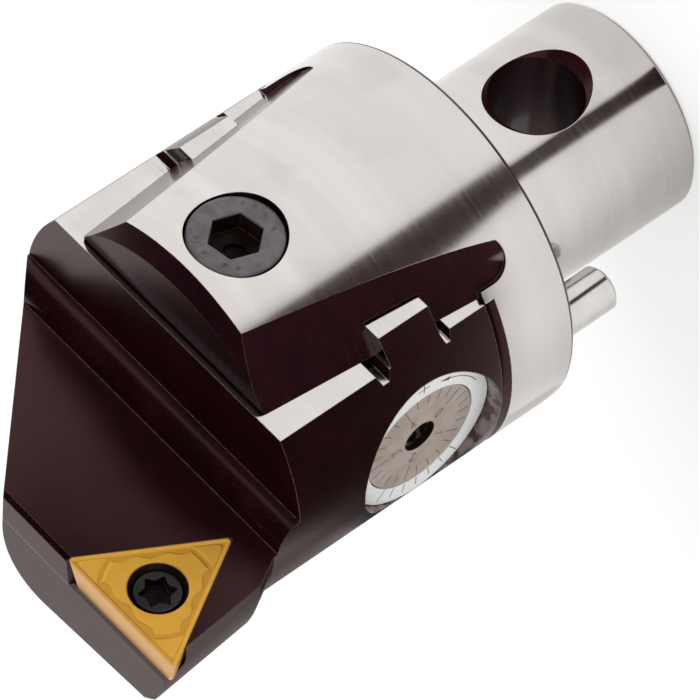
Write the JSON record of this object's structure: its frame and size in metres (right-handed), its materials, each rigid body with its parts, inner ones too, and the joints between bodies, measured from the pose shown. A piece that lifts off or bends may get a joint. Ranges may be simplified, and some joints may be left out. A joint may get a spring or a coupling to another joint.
{
  "type": "boring_bar_head",
  "caption": "Boring bar head with a steel coupling spigot, black cross slide, graduated dial and triangular insert",
  "frame": {"origin": "centre of the shoulder face that seats on the boring bar, on the tool axis", "axes": "+Z along the tool axis towards the cutting end; +X along the slide's feed, towards the dial and the cutting corner; +Y towards the clamp screw"},
  "size_m": [0.0456, 0.0438, 0.0802],
  "materials": {
    "ground_steel": "ground, fine rings round the axis",
    "polished_steel": "polished",
    "black_oxide": "black oxide, fine mottled",
    "black_steel": "black oxide on screws",
    "spring_steel": "plain",
    "coated_carbide": "gold coated carbide, satin",
    "satin_chrome": "matt chromed, graduated",
    "dial_grey": "matt, graduated",
    "bronze": "turned",
    "seal_rubber": "matt",
    "drag_plastic": "matt"
  },
  "bodies": {
    "head": {"head_body": "ground_steel", "drive_pin": "polished_steel", "feed_nut": "bronze", "feed_nut_pin": "polished_steel", "clamp_nut": "black_steel", "clamp_washer": "black_steel", "clamp_spring_washer": "spring_steel"},
    "slide": {"slide_holder": "black_oxide", "cutting_insert": "coated_carbide", "insert_screw": "black_steel", "vernier_ring": "satin_chrome", "clamp_bore_plug": "black_steel", "front_thrust_washer": "bronze", "rear_thrust_washer": "bronze", "dial_spring_washer": "spring_steel", "dial_seal": "seal_rubber", "drag_plug": "drag_plastic", "drag_grub_screw": "black_steel"},
    "dial": {"feed_screw": "polished_steel", "dial_disc": "dial_grey"},
    "clamp": {"clamp_screw": "black_steel"}
  },
  "joints": [
    {"name": "slide_feed", "type": "slide", "parent": "head", "child": "slide", "axis": [1, 0, 0], "range_m": [-0.0005, 0.0025]},
    {"name": "dial_turn", "type": "hinge", "parent": "slide", "child": "dial", "pos_m": [0, 0, 0.01865], "axis": [1, 0, 0], "range_deg": [-365, 1805]},
    {"name": "clamp_turn", "type": "hinge", "parent": "head", "child": "clamp", "pos_m": [0, 0, 0.0276], "axis": [0, 1, 0], "range_deg": [0, 180]}
  ],
  "couplings": [
    {"joint": "dial_turn", "follows": "slide_feed", "rad_per_m": 12566}
  ]
}
